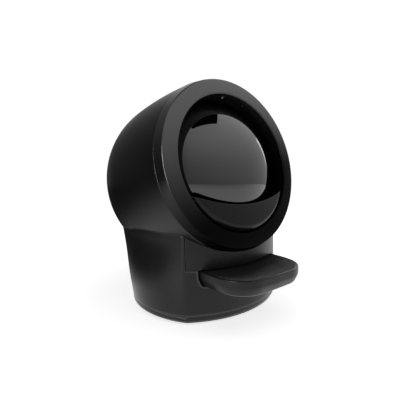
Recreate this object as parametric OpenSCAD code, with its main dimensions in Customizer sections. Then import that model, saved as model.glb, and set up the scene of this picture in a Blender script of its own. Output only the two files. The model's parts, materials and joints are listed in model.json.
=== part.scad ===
// Automatic pet feeder: a round tilted head on a bucket-shaped base, with an
// eyelid visor over the bowl and a pull-out crumb tray.
// Origin: on the floor under the centre of the object. +Z up, front towards -Y.

/* [Head] */
// Outer radius of the front ring
ring_r = 130; // [110:1:160]
// Height of the ring's centre above the floor
ring_z = 230; // [215:1:290]
// Distance of the ring's centre in front of the origin
ring_y = 90; // [80:1:105]
// Backward tilt of the ring's face
tilt = 13.8; // [8:0.2:18]
// Width of the ring's front face
ring_face = 23.5; // [18:0.5:30]
// Depth of the ring's outer side wall
ring_side = 16; // [12:1:22]
// How far the ring's side wall flares out towards the head
ring_flare = 4.5; // [0:0.5:6]
// Depth of the ring's inner wall
ring_depth = 27; // [22:1:32]
// How far the head swells beyond the ring at its widest
head_swell = 13; // [9:1:20]
// Distance from the ring's face to the widest part of the head
head_mid = 127; // [110:1:150]
// Wall of the head, the base and the other covers
wall = 3; // [2.4:0.1:4]

/* [Visor] */
// Gap between the visor and the wall of the head at the pivots
visor_gap = 3.6; // [3:0.1:6]
// Thickness of the visor
visor_wall = 2.5; // [2:0.1:3.5]
// Angle of the visor's lower edge below the ring's axis
visor_low = 31; // [28:0.5:33]
// Angle of the visor's upper edge above the ring's axis
visor_high = 52; // [51:0.5:54]
// Radius of the pivot pins
pivot_r = 4; // [3:0.5:5]

/* [Bowl] */
// Length of the trough from its front to its rear wall
bowl_len = 86; // [70:1:92]
// Wall of the bowl
bowl_wall = 3.5; // [3:0.1:5]
// Distance of the lip's middle below the ring's axis
lip_low = 65; // [60:1:72]
// Bulge of the lip in front of the ring's face
lip_out = 10.5; // [7:0.5:14]
// Running gap between the bowl and what it slides in
slide_gap = 0.5; // [0.4:0.1:1]

/* [Base] */
// Radius of the base at the floor
base_r = 121; // [100:1:140]
// Flare of the base's side
base_flare = 4.3; // [2:0.1:7]
// Backward lean of the base
base_lean = 8.9; // [6:0.1:11]
// Distance of the flatter front in front of the origin at the floor
front_y = 117; // [105:1:125]
// Radius of the front's curve
front_r = 174; // [150:1:220]
// Length of the scoop in each side, back from the front corner
scoop_len = 88; // [70:1:96]
// Height of the scoops' deepest point above the floor
scoop_z = 112; // [100:1:120]
// Height of the bevelled base plate
plate_h = 10; // [8:1:14]
// Height of the rubber feet below the plate
foot_h = 3; // [2:0.5:5]
// Radius of a foot
foot_r = 9; // [6:1:12]

/* [Tray] */
// Height of the tray's top above the floor
tray_z = 78; // [65:1:84]
// Distance from the origin to the tray's front edge
tray_front = 175; // [165:1:185]
// Half width of the tray where it leaves the base
tray_back_w = 77; // [66:1:80]
// Half width of the tray at its front edge
tray_front_w = 74; // [60:1:76]
// Height of the tray's upright edge
tray_rim = 10; // [7:1:12]
// Depth of the tray's tapered underside
tray_under = 13; // [8:1:16]
// Corner radius of the tray
tray_corner = 48; // [20:1:54]

/* [Hopper] */
// Radius of the rear hatch
hatch_r = 45; // [37:1:47]
// Angle of the hatch above the rear horizon
hatch_up = 30; // [27:0.5:32]
// Radius of the feed rotor
rotor_r = 24; // [20:1:26]
// Half length of the feed rotor
rotor_half = 32; // [26:1:38]
// Height of the rotor's shaft above the floor
rotor_z = 198; // [194:1:204]
// Distance of the rotor's shaft behind the origin
rotor_y = 62; // [56:1:68]
// Radius of the rotor's shaft
shaft_r = 3; // [2.5:0.5:4]

/* [Gears] */
// Tooth size
gear_module = 1; // [0.8:0.1:1.2]
// Teeth of a large gear
gear_teeth = 40; // [32:1:44]
// Teeth of a motor's pinion
pinion_teeth = 12; // [10:1:16]
// Extra distance between meshed gears
mesh_gap = 0.25; // [0.2:0.05:0.4]

/* [Hidden] */
$fn = 96;

shell_col = [0.075, 0.075, 0.078];
gloss_col = [0.02, 0.02, 0.022];
grey_col = [0.28, 0.28, 0.29];
steel_col = [0.6, 0.6, 0.62];
e = 0.01;
far = 400;

// Ring and visor: h runs out of the ring's face along its axis, u up its face
ring_in = ring_r - ring_face;
wall_in = ring_in - 1.5;
head_r = ring_r + head_swell;
ring_back = ring_r + ring_flare;
head_front = ring_back - 0.5;
visor_r = head_r - wall - visor_gap - 0.4;
visor_in = visor_r - visor_wall;
visor_back = ring_depth + sqrt(pow(visor_r + 1.2, 2) - pow(wall_in, 2));
barrel_run = head_mid - ring_side;
barrel_r = (pow(barrel_run, 2) + pow(head_r - head_front, 2)) / (2 * (head_r - head_front));
pad_x = visor_r + 1;
pin_in = visor_in - 6.5;
shroud_r = wall_in - 4.5;
shroud_front = visor_back - sqrt(pow(visor_in - 3, 2) - pow(shroud_r, 2));
bowl_r = wall_in - 1;
bowl_back = bowl_len - 2;
shroud_back = bowl_back + 4;
pivot_hole = pivot_r + 0.05;
pinion_reach = gear_module * (gear_teeth + pinion_teeth) / 2 + mesh_gap;
gear_w = 5;
bracket_t = 2.2;
motor_r = 12;
rim_sag = visor_r * sin(visor_low) - sin(visor_low) * sqrt(pow(visor_r, 2) - pow(bowl_r - 8, 2));
rim_half = bowl_r - 8;
rim_r = (pow(rim_half, 2) + pow(rim_sag, 2)) / (2 * rim_sag);
rim_low = visor_r * sin(visor_low) + 1;
lip_tip = sqrt(pow(bowl_r, 2) - pow(lip_low - 19, 2));
lip_r = (pow(lip_tip, 2) + pow(19, 2)) / (2 * 19);
lip_edge = 2;
lip_ball = (pow(lip_tip, 2) + pow(lip_out - lip_edge, 2)) / (2 * (lip_out - lip_edge));

// Base
base_y = -13.5;
front_lean = base_lean / 2;
front_cy = front_r - front_y;
corner_y = (pow(base_r, 2) - pow(front_r, 2) - pow(base_y, 2) + pow(front_cy, 2))
           / (2 * (front_cy - base_y));
corner_a = asin((corner_y - base_y) / base_r);
scoop_turn = 2 * asin(scoop_len / 2 / base_r);
scoop_ball = 150;
scoop_out = base_r * cos(scoop_turn / 2) + sqrt(pow(scoop_ball, 2) - pow(scoop_len / 2, 2));
plate_top = foot_h + plate_h;
bevel = 3;
foot_x = base_r - 41;
foot_front = corner_y + 16;
foot_back = 50;
screw_r = 2;
tray_gap = 0.6;
tray_low = tray_z - tray_rim - tray_under;
tray_steps = [[0, tray_z - tray_rim, tray_z], [3, tray_z - tray_rim - tray_under / 2, tray_z - tray_rim + e],
              [8, tray_low, tray_z - tray_rim - tray_under / 2 + e]];
tongue_w = tray_back_w - 27;
inlet_x = -38;
inlet_z = 34;
inlet_r = 7;
inlet_y = base_y + inlet_z * tan(base_lean)
          + sqrt(pow(base_r + inlet_z * tan(base_flare), 2) - pow(inlet_x, 2));
button_z = 52;
button_r = 7;
button_y = base_y + button_z * tan(base_lean) + base_r + button_z * tan(base_flare);
tongue_back = 5;
tongue_top = tray_low + 5;
rail_gap = 0.5;
floor_in = foot_h + wall + 0.05;
board_z = 24;
door_t = 2.4;
post_r = 5;
post_top = 34;
shaft_fit = 0.05;

// Hopper and hatch
head_cy = -ring_y + head_mid * cos(tilt);
head_cz = ring_z - head_mid * sin(tilt);
visor_cy = -ring_y + visor_back * cos(tilt);
visor_cz = ring_z - visor_back * sin(tilt);
hatch_gap = 0.5;
house_r = rotor_r + 1.5;
house_wall = 2.5;
chute_fall = 30;
bin_half = 88;
bin_front = 34;
bin_back = 124;
bin_low = 226;
bin_high = 298;
hinge_r = 2.5;
sensor_gap = 0.05;
cam_h = 10;
cam_r = 4;
light_r = 1.2;
light_turn = 24;
hatch_top = sqrt(pow(head_r, 2) - pow(hatch_r, 2));
hinge_off = hatch_r + 4.5;
seal_r = hatch_r - 3.8;
seal_top = sqrt(pow(head_r - wall, 2) - pow(seal_r, 2));
dry_r = 24;
dry_top = sqrt(pow(head_r - wall, 2) - pow(dry_r, 2));
hinge_out = sqrt(pow(head_r, 2) - pow(hinge_off, 2)) + hinge_r + 2.4;

module at_ring() { translate([0, -ring_y, ring_z]) rotate([90 - tilt, 0, 0]) children(); }
module at_visor() { at_ring() translate([0, 0, -visor_back]) children(); }
module at_hatch() { translate([0, head_cy, head_cz]) rotate([hatch_up - 90, 0, 0]) children(); }
module along_x(x0, x1, r) { translate([x0, 0, 0]) rotate([0, 90, 0]) cylinder(h = x1 - x0, r = r); }
module both_sides() { children(); mirror([1, 0, 0]) children(); }
module box(x0, x1, y0, y1, z0, z1) { translate([x0, y0, z0]) cube([x1 - x0, y1 - y0, z1 - z0]); }

// Spur gear on the Z axis, a tooth on +X, with straight-sided teeth
module gear(teeth, width, bore) {
    r = gear_module * teeth / 2;
    root = r - 1.15 * gear_module;
    tip = r + 0.9 * gear_module;
    pitch = 360 / teeth;
    linear_extrude(width) difference() {
        union() {
            circle(r = root);
            for (i = [0 : teeth - 1]) rotate(i * pitch) polygon([
                [root - 0.3, -0.31 * PI * gear_module], [tip, -0.13 * PI * gear_module],
                [tip, 0.13 * PI * gear_module], [root - 0.3, 0.31 * PI * gear_module]]);
        }
        circle(r = bore);
    }
}

// The head is turned round the ring's axis: a long barrel arc and a round back
module head_solid(inset, front) {
    at_ring() rotate_extrude($fn = 128) intersection() {
        union() {
            translate([0, -head_mid]) circle(r = head_r - inset, $fn = 128);
            intersection() {
                translate([head_r - barrel_r, -head_mid]) circle(r = barrel_r - inset, $fn = 256);
                translate([0, -head_mid]) square([head_r, head_mid - front]);
            }
        }
        translate([0, -far - front]) square([head_r + 1, far]);
    }
}

// The base is a leaning cone cut by a flatter leaning front
module base_solid(inset) {
    h = 200;
    intersection() {
        translate([0, base_y, 0]) rotate([-base_lean, 0, 0]) translate([0, 0, -30])
            cylinder(h = h + 30, r1 = base_r - inset - 30 * tan(base_flare),
                     r2 = base_r - inset + h * tan(base_flare), $fn = 128);
        translate([0, front_cy, 0]) rotate([-front_lean, 0, 0]) translate([0, 0, -30])
            cylinder(h = h + 30, r = front_r - inset, $fn = 160);
        translate([-far / 2, -far / 2, 0]) cube([far, far, ring_z]);
    }
}

// A round hollow in each side, whose front edge is the base's front corner
module scoop(grow) {
    both_sides() translate([0, base_y + scoop_z * tan(base_lean), scoop_z])
        rotate(corner_a + scoop_turn / 2) translate([scoop_out, 0, 0]) sphere(r = scoop_ball + grow, $fn = 96);
}

// Room for the head and the ring above the base
module head_room() {
    head_solid(-0.3, ring_side + 0.1);
    at_ring() translate([0, 0, -ring_side - 0.4]) {
        cylinder(h = far, r = ring_r + 0.4, $fn = 160);
        cylinder(h = ring_side, r1 = ring_back + 0.4, r2 = ring_r, $fn = 160);
    }
}

// The front wall's own region, from the tray's height up to the head
module front_zone(gap) { box(-93 - gap, 93 + gap, -far / 2, -72, tray_z + 0.8 - gap, ring_z); }

module tray_slot() {
    for (s = tray_steps) {
        half = tray_back_w - s[0] + tray_gap;
        box(-half, half, -far / 2, -70, s[1] - tray_gap, s[2] + tray_gap);
    }
}

module base_hollow() {
    difference() {
        base_solid(wall);
        scoop(wall);
    }
}

// Posts for the base screws, each with a rib to the wall
module screw_posts() {
    intersection() {
        base_solid(wall - 0.5);
        difference() {
            for (x = [-foot_x, foot_x], y = [foot_front, foot_back]) translate([x, y, floor_in]) {
                cylinder(h = post_top - floor_in, r = post_r);
                rotate(atan2(y - base_y, x)) translate([0, -1.25, plate_top - floor_in])
                    cube([40, 2.5, post_top - plate_top - 4]);
            }
            for (x = [-foot_x, foot_x], y = [foot_front, foot_back]) translate([x, y, 0])
                cylinder(h = post_top - 4, r = screw_r + shaft_fit);
        }
    }
}

module base_shell() {
    color(shell_col) screw_posts();
    color(shell_col) difference() {
        base_solid(0);
        scoop(0);
        base_hollow();
        box(-far / 2, far / 2, -far / 2, far / 2, -1, plate_top);
        head_room();
        front_zone(0.4);
        tray_slot();
        translate([inlet_x, 90, inlet_z]) rotate([-90, 0, 0]) cylinder(h = 60, r = inlet_r + 0.4);
        translate([0, 100, button_z]) rotate([-90, 0, 0]) cylinder(h = 60, r = button_r + 0.4);
    }
}

module front_panel() {
    color(shell_col) difference() {
        intersection() {
            base_solid(0);
            front_zone(0);
        }
        base_solid(wall);
        scoop(0.2);
        head_room();
    }
}

module base_plate() {
    color(shell_col) difference() {
        intersection() {
            translate([0, base_y, foot_h])
                cylinder(h = plate_h - 0.3, r1 = base_r - bevel, r2 = base_r + 0.6, $fn = 128);
            translate([0, front_cy, foot_h])
                cylinder(h = plate_h - 0.3, r1 = front_r - bevel, r2 = front_r - 0.6, $fn = 160);
        }
        intersection() {
            translate([0, base_y, foot_h + wall])
                cylinder(h = plate_h, r = base_r - bevel - wall - 1, $fn = 128);
            translate([0, front_cy, foot_h + wall])
                cylinder(h = plate_h, r = front_r - bevel - wall - 1, $fn = 160);
        }
        for (x = [-foot_x, foot_x], y = [foot_front, foot_back])
            translate([x, y, foot_h - 1]) cylinder(h = plate_h + 2, r = screw_r + 0.2);
        box(-34.5, 34.5, 9.5, 70.5, foot_h - 1, plate_top);
    }
}

module feet() {
    color([0.05, 0.05, 0.05]) for (x = [-foot_x, foot_x], y = [foot_front, foot_back])
        translate([x, y, 0]) difference() {
            rotate_extrude() union() {
                square([foot_r - 1, foot_h]);
                translate([0, 1]) square([foot_r, foot_h - 1]);
                translate([foot_r - 1, 1]) circle(r = 1, $fn = 24);
            }
            translate([0, 0, 1.2]) cylinder(h = foot_h, r = 4.2);
        }
}

module base_screws() {
    color(steel_col) for (x = [-foot_x, foot_x], y = [foot_front, foot_back]) translate([x, y, 0]) {
        translate([0, 0, 1.3]) cylinder(h = foot_h - 1.4, r = 4);
        translate([0, 0, 2]) cylinder(h = post_top - 8, r = screw_r);
    }
}

module head_shell() {
    color(shell_col) difference() {
        union() {
            difference() {
                head_solid(0, ring_side + 0.3);
                head_solid(wall, ring_side);
            }
            intersection() {
                head_solid(1, ring_side + 1);
                at_visor() both_sides() along_x(pad_x, head_r, 9);
            }
        }
        at_visor() both_sides() along_x(pad_x - 1, pad_x + 4.4, pivot_r);
        at_hatch() cylinder(h = far, r = hatch_r);
    }
    color(shell_col) at_hatch() for (s = [-1, 1]) translate([s * 19, -hinge_off, hinge_out])
        difference() {
            union() {
                along_x(-5, 5, hinge_r + 2);
                box(-5, 5, -hinge_r - 2, 1, -6.5, 0);
            }
            along_x(-6, 6, hinge_r + 0.05);
        }
}

module ring_bezel() {
    color(shell_col) difference() {
        ring_profile();
        at_ring() translate([0, ring_in + 7, -cam_h]) rotate([90, 0, 0])
            cylinder(h = 12, r = cam_r + shaft_fit);
        at_ring() rotate(-light_turn) translate([0, ring_in + 7, -cam_h]) rotate([90, 0, 0])
            cylinder(h = 12, r = light_r + shaft_fit);
    }
}

module ring_profile() {
    at_ring() rotate_extrude($fn = 160) difference() {
        union() {
            polygon([[wall_in, -ring_depth], [wall_in + 3, -ring_depth], [wall_in + 5, -ring_side],
                     [ring_back - 1.2, -ring_side], [ring_back, -ring_side + 1.2], [ring_r, -3],
                     [ring_r - 3, 0],
                     [ring_in + 2, 1.9], [ring_in, -0.1]]);
            translate([ring_r - 3, -3]) circle(r = 3, $fn = 48);
            translate([ring_in + 2, -0.1]) circle(r = 2, $fn = 48);
        }
        polygon([[ring_in + 6, -ring_side - 1], [ring_back - wall, -ring_side - 1],
                 [ring_r - wall, -4], [ring_in + 6, -3]]);
    }
}

// The crescent below the rim, seen along the ring's axis
module under_rim(r, low, arc_r) {
    difference() {
        circle(r = r, $fn = 160);
        translate([0, arc_r - low]) circle(r = arc_r, $fn = 256);
    }
}

module cavity_shroud() {
    color(gloss_col) at_ring() difference() {
        translate([0, 0, -shroud_back - wall]) cylinder(h = shroud_back + wall - shroud_front, r = shroud_r,
                                                        $fn = 128);
        translate([0, 0, -shroud_back]) cylinder(h = shroud_back, r = shroud_r - wall, $fn = 128);
        translate([0, 0, -shroud_back]) linear_extrude(far)
            under_rim(shroud_r + 20, rim_low - 4, rim_r + 4);
        translate([-27, -62, -shroud_back - far / 2]) cube([54, 30, far / 2 + 1]);
    }
    color(gloss_col) both_sides() difference() {
        at_ring() translate([40, 40, -shroud_back - wall - 50]) cylinder(h = 50 + wall / 2, r = 4);
        box(0, far, bin_front - 0.05, far, 0, far);
    }
}

module bowl_cradle() {
    color(shell_col) at_ring() translate([0, 0, -bowl_back - wall - 1]) difference() {
        linear_extrude(bowl_back + wall + 1 - ring_depth - 0.05) difference() {
            circle(r = bowl_r + slide_gap + wall, $fn = 160);
            circle(r = bowl_r + slide_gap, $fn = 160);
            translate([-far / 2, -bowl_r * 0.66]) square([far, far]);
        }
    }
}

module bowl() {
    color(gloss_col) at_ring() {
        difference() {
            union() {
                translate([0, 0, -bowl_back]) linear_extrude(bowl_back + lip_edge - 0.2)
                    under_rim(bowl_r, rim_low, rim_r);
                intersection() {
                    linear_extrude(lip_out + 2) under_rim(bowl_r, lip_low, lip_r);
                    translate([0, -lip_low + 19, lip_out - lip_ball]) sphere(r = lip_ball, $fn = 256);
                    translate([0, 0, -1]) cylinder(h = lip_out + 3, r1 = bowl_r + 7, r2 = bowl_r - 6.5, $fn = 160);
                }
            }
            translate([0, 0, -bowl_back + bowl_wall]) linear_extrude(bowl_back + 3 - bowl_wall)
                under_rim(bowl_r - bowl_wall, lip_low - 40, lip_r);
            translate([0, 0, -visor_back]) sphere_step();
        }
    }
}

// Room for the visor behind the lip
module sphere_step() {
    intersection() {
        sphere(r = visor_r + 1, $fn = 160);
        rotate([visor_low + 0.6, 0, 0]) translate([-far / 2, 0, 0]) cube([far, far, far]);
    }
}

module camera_module() {
    color(gloss_col) at_ring() translate([0, wall_in + 5.2, -cam_h]) rotate([90, 0, 0])
        cylinder(h = 5.4, r = cam_r);
}

module camera_lens() {
    color(grey_col) at_ring() translate([0, wall_in - 0.2, -cam_h]) rotate([90, 0, 0])
        cylinder(h = 0.8, r = 2.2);
}

module status_light() {
    color([0.9, 0.9, 0.9]) at_ring() rotate(-light_turn) translate([0, wall_in + 4, -cam_h])
        rotate([90, 0, 0])
        cylinder(h = 3.4, r = light_r);
}

module visor() {
    color(gloss_col) at_visor() difference() {
        union() {
            rotate([0, -90, 0]) rotate([0, 0, -visor_low]) rotate_extrude(angle = visor_low + visor_high, $fn = 256)
                intersection() {
                    difference() {
                        circle(r = visor_r, $fn = 256);
                        circle(r = visor_in, $fn = 256);
                    }
                    translate([0.5, -visor_r]) square([visor_r, 2 * visor_r]);
                }
            both_sides() along_x(visor_in - 3.5, visor_in + 0.4, 12);
        }
        both_sides() along_x(visor_in - 5, visor_r + 1, pivot_hole);
    }
}

module visor_gear() {
    color(grey_col) at_visor() translate([-visor_in + 3.5, 0, 0]) rotate([0, 90, 0])
        gear(gear_teeth, gear_w, pivot_hole);
}

module visor_pins() {
    color(steel_col) at_visor() both_sides() along_x(pin_in - 4, pad_x + 4.3, pivot_r);
}

module visor_pinion() {
    color(steel_col) at_visor() translate([-visor_in + 3.5, 0, -pinion_reach]) rotate([0, 90, 0])
        rotate(180 / pinion_teeth) gear(pinion_teeth, gear_w, 1.55);
}

module visor_motor() {
    color(steel_col) at_visor() translate([0, 0, -pinion_reach]) {
        along_x(-visor_in + 12, -visor_in + 40, motor_r);
        along_x(-visor_in + 3.7, -visor_in + 12, 1.5);
    }
}

module motor_bracket() {
    color(grey_col) intersection() {
        head_solid(wall + 0.05, ring_side);
        at_visor() translate([-visor_in + 9.7, 0, -pinion_reach]) difference() {
            union() {
                along_x(0, bracket_t, motor_r + 2);
                box(0, bracket_t, -8, 8, -far, 0);
            }
            along_x(-1, bracket_t + 1, 3);
        }
    }
}

// Hangs the feed motor from the hopper and carries the far end of the shaft
module feed_bracket() {
    color(grey_col) translate([rotor_half + 12.9 - bracket_t, rotor_y, rotor_z]) difference() {
        union() {
            translate([0, 0, -pinion_reach]) along_x(0, bracket_t, motor_r + 2);
            box(0, bracket_t, -9, 9, -pinion_reach, bin_low - rotor_z - 0.05);
        }
        translate([0, 0, -pinion_reach]) along_x(-1, bracket_t + 1, 3);
        along_x(-1, bracket_t + 1, shaft_r + shaft_fit);
    }
}

module hopper_body(inset) {
    intersection() {
        box(-bin_half + inset, bin_half - inset, bin_front + inset, bin_back - inset,
            bin_low + inset, bin_high - inset);
        translate([0, visor_cy, visor_cz]) sphere(r = visor_in - 3 - inset, $fn = 128);
    }
    at_hatch() translate([0, 0, 62 + inset])
        cylinder(h = (inset > 0 ? far : head_r - wall - 64.5 - 5), r = hatch_r - 0.3 - inset);
    translate([0, rotor_y, rotor_z]) along_x(-rotor_half - 3 + inset, rotor_half + 3 - inset,
                                            house_r + house_wall - inset);
    box(-rotor_half - 3 + inset, rotor_half + 3 - inset, rotor_y - 20 + inset, rotor_y + 20 - inset,
        rotor_z + 10, bin_low + 4);
}

module hopper() {
    color([0.75, 0.76, 0.78]) difference() {
        hopper_body(0);
        hopper_body(house_wall);
        chute_way(0);
        translate([0, rotor_y, rotor_z]) along_x(-far / 2, far / 2, shaft_r + 0.05);
    }
}

// The sloped way from the rotor's housing to the feeding cavity
module chute_way(grow) {
    translate([0, rotor_y, rotor_z]) rotate([chute_fall, 0, 0])
        box(-22 - grow, 22 + grow, -94, -16, -24 - grow, -4 + grow);
}

module chute() {
    color([0.75, 0.76, 0.78]) difference() {
        chute_way(2);
        chute_way_open();
        translate([0, rotor_y, rotor_z]) along_x(-rotor_half - 4, rotor_half + 4, house_r + house_wall + 0.1);
        at_ring() translate([0, 0, -shroud_back - wall - 0.2]) cylinder(h = far, r = ring_r);
    }
}

module chute_way_open() {
    translate([0, rotor_y, rotor_z]) rotate([chute_fall, 0, 0]) box(-22, 22, -100, 10, -24, -4);
}

module feed_rotor() {
    color(grey_col) translate([0, rotor_y, rotor_z]) difference() {
        union() {
            along_x(-rotor_half, rotor_half, 8);
            for (a = [0 : 60 : 300]) rotate([a, 0, 0]) box(-rotor_half, rotor_half, -1.2, 1.2, 6, rotor_r);
        }
        along_x(-rotor_half - 1, rotor_half + 1, shaft_r);
    }
}

module rotor_shaft() {
    color(steel_col) translate([0, rotor_y, rotor_z]) along_x(-rotor_half - 6, rotor_half + 14, shaft_r);
}

module rotor_gear() {
    color(grey_col) translate([rotor_half + 5, rotor_y, rotor_z]) rotate([0, 90, 0])
        gear(gear_teeth, gear_w, shaft_r);
}

module feed_pinion() {
    color(steel_col) translate([rotor_half + 5, rotor_y, rotor_z - pinion_reach]) rotate([0, 90, 0])
        rotate(180 / pinion_teeth) gear(pinion_teeth, gear_w, 1.55);
}

module feed_motor() {
    color(steel_col) translate([0, rotor_y, rotor_z - pinion_reach]) {
        along_x(rotor_half + 13, rotor_half + 43, motor_r);
        along_x(rotor_half + 5.5, rotor_half + 13, 1.5);
    }
}

module level_sensors() {
    color(grey_col) both_sides()
        box(bin_half + sensor_gap, bin_half + 6, 70, 84, bin_low + 18, bin_low + 28);
}

module hopper_lid() {
    color(shell_col) difference() {
        union() {
            intersection() {
                difference() {
                    head_solid(0, ring_side);
                    head_solid(wall, ring_side);
                }
                at_hatch() cylinder(h = far, r = hatch_r - hatch_gap);
            }
            at_hatch() translate([0, -hinge_off, hinge_out]) {
                along_x(-13.5, 13.5, hinge_r + 2);
                box(-13.5, 13.5, 0, 10, -2.6, 0.8);
            }
        }
        at_hatch() translate([0, -hinge_off, hinge_out]) along_x(-14, 14, hinge_r + 0.05);
        at_hatch() translate([0, hatch_r + 3, hatch_top + 3]) sphere(r = 9);
    }
}

module lid_seal() {
    color([0.5, 0.5, 0.52]) at_hatch() translate([0, 0, seal_top - 2.8]) difference() {
        cylinder(h = 2.8, r = seal_r);
        translate([0, 0, -1]) cylinder(h = 5, r = seal_r - 3.5);
    }
}

module desiccant_box() {
    color([0.85, 0.85, 0.86]) at_hatch() translate([0, 0, dry_top - 17]) cylinder(h = 17, r = dry_r);
}

module lid_hinge_pin() {
    color(steel_col) at_hatch() translate([0, -hinge_off, hinge_out]) along_x(-24.4, 24.4, hinge_r);
}

module tray_plan(inset) {
    r = tray_corner;
    hull() {
        for (s = [-1, 1]) {
            translate([s * (tray_front_w - r), -tray_front + r]) circle(r = r - inset, $fn = 48);
            translate([s * (tray_back_w - inset - 1), -99]) square([2, 1], center = true);
        }
    }
}

module tray() {
    color(shell_col) difference() {
        union() {
            difference() {
                for (s = tray_steps) translate([0, 0, s[1]]) linear_extrude(s[2] - s[1]) tray_plan(s[0]);
                base_solid(wall + 4);
            }
            box(-tongue_w, tongue_w, -135, -tongue_back, tongue_top - 4, tongue_top);
        }
        translate([0, 0, tray_z - 1.6]) linear_extrude(5) tray_plan(5);
    }
}

module tray_mat() {
    color(gloss_col) difference() {
        translate([0, 0, tray_z - 1.6]) linear_extrude(1.2) tray_plan(5.3);
        base_solid(-0.7);
        for (y = [-tray_front + 12 : 5 : -112]) translate([0, y, tray_z - 0.3])
            cube([2 * tray_front_w - 24, 1.6, 0.8], center = true);
    }
}

module tray_rails() {
    color(grey_col) both_sides() {
        difference() {
            box(tongue_w - 5, tongue_w + 4, -90, 10, tongue_top - 8, tongue_top + 3);
            box(tongue_w - 6, tongue_w + rail_gap, -91, 11, tongue_top - 4 - rail_gap, tongue_top + rail_gap);
        }
        for (y = [-82, 0]) box(tongue_w - 4, tongue_w + 3, y - 4, y + 4, floor_in, tongue_top - 7);
    }
}

module main_board() { color([0.05, 0.3, 0.12]) box(-60, 60, -62, -8, board_z, board_z + 1.6); }

module board_posts() {
    color(grey_col) for (x = [-54, 54], y = [-56, -14]) translate([x, y, floor_in])
        cylinder(h = board_z - floor_in - 0.05, r = 3.5);
}

module battery_pack() {
    color([0.2, 0.35, 0.6]) box(-30, 30, 14, 66, foot_h + door_t + 0.05, foot_h + door_t + 16);
}

module battery_door() {
    color(shell_col) box(-34, 34, 10, 70, foot_h, foot_h + door_t);
}

module speaker() {
    color(gloss_col) translate([74, 20, floor_in]) {
        cylinder(h = 4, r = 18);
        cylinder(h = 12, r = 12);
    }
}

module power_inlet() {
    color(gloss_col) translate([inlet_x, inlet_y - 17, inlet_z]) rotate([-90, 0, 0]) difference() {
        cylinder(h = 16.5, r = inlet_r);
        translate([0, 0, 6.5]) cylinder(h = 16, r = 2.8);
    }
}

module rear_button() {
    color(grey_col) translate([0, button_y, button_z]) rotate([-90, 0, 0]) {
        translate([0, 0, -9]) cylinder(h = 11, r = button_r);
        translate([0, 0, -9]) cylinder(h = 2, r = button_r + 2);
    }
}

module button_spring() {
    color(steel_col) translate([0, button_y - 19, button_z]) rotate([-90, 0, 0]) difference() {
        cylinder(h = 9.9, r = 4);
        translate([0, 0, -1]) cylinder(h = 12, r = 3);
    }
}

module button_switch() {
    color(gloss_col) {
        box(-7, 7, button_y - 27, button_y - 19.1, button_z - 9, button_z + 9);
        box(-7, 7, button_y - 27, button_y - 24, floor_in, button_z - 9);
    }
}

base_shell();
front_panel();
base_plate();
feet();
base_screws();
head_shell();
ring_bezel();
cavity_shroud();
bowl_cradle();
camera_module();
camera_lens();
status_light();
visor();
visor_gear();
visor_pins();
visor_motor();
visor_pinion();
motor_bracket();
feed_bracket();
bowl();
hopper();
chute();
feed_rotor();
rotor_shaft();
rotor_gear();
feed_motor();
feed_pinion();
level_sensors();
hopper_lid();
lid_seal();
desiccant_box();
lid_hinge_pin();
tray();
tray_mat();
tray_rails();
main_board();
board_posts();
battery_pack();
battery_door();
speaker();
power_inlet();
rear_button();
button_spring();
button_switch();
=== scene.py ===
# %% [markdown]
# # An automatic pet feeder
# The feeder is a round, tilted head on a bucket-shaped base. A glossy eyelid
# visor closes the ring over a crescent bowl, and a tray in the base's front
# catches crumbs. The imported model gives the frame: its joints and boxes say
# where everything sits. Here the plain solids get their real surfaces.

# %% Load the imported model
import json
import math

import bmesh
import bpy
import numpy as np
from mathutils import Matrix, Vector


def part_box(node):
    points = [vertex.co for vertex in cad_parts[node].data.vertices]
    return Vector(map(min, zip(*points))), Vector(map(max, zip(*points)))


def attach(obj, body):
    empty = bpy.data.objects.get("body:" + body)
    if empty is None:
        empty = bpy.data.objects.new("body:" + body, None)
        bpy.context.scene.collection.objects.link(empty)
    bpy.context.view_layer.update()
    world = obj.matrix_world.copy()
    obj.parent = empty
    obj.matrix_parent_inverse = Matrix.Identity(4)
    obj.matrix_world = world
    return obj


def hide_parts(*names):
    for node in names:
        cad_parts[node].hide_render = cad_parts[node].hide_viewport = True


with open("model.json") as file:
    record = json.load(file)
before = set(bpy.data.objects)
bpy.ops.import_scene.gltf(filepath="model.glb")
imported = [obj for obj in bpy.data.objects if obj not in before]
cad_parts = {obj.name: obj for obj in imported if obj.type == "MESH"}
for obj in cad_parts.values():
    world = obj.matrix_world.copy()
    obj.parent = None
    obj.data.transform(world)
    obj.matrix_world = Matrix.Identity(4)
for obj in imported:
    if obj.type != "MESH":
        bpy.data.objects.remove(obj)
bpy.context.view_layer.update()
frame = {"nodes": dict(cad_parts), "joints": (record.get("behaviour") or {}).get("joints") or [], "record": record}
joints = {joint["name"]: joint for joint in frame["joints"]}

# %% [markdown]
# ## Directions and sizes
# All the round parts of the head share one tilted axis, and the bowl slides
# along it, so the axis is read from that joint. Sizes are in millimetres, as
# a maker writes them, and one helper turns them into Blender's metres.

# %% The ring's own directions
MM = 0.001
SIDE = np.array([1.0, 0.0, 0.0])
OUT = np.array(joints["bowl_slide"]["axis"], float)
UP = np.cross(OUT, SIDE)
visor_back = 115.31
head_back = 127.0
PIVOT = np.array(joints["visor_lift"]["pos_m"], float) / MM
CENTRE = PIVOT + visor_back * OUT
HEAD = CENTRE - head_back * OUT
ring_r = 130.0
tilt = math.degrees(math.atan2(OUT[2], -OUT[1]))
print(f"ring radius {ring_r:.1f} mm, centre {CENTRE.round(1)}, tilt {tilt:.1f} degrees")

# %% [markdown]
# ## Turning numbers into meshes
# Every shell here is a grid of points: rows one way, columns the other. A
# grid can be turned on a lathe, lofted or bent from a formula, and its faces
# are always clean quads, so highlights run smoothly over it. Subdividing a
# rough cage would be the other way, but a formula keeps exact radii.

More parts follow.
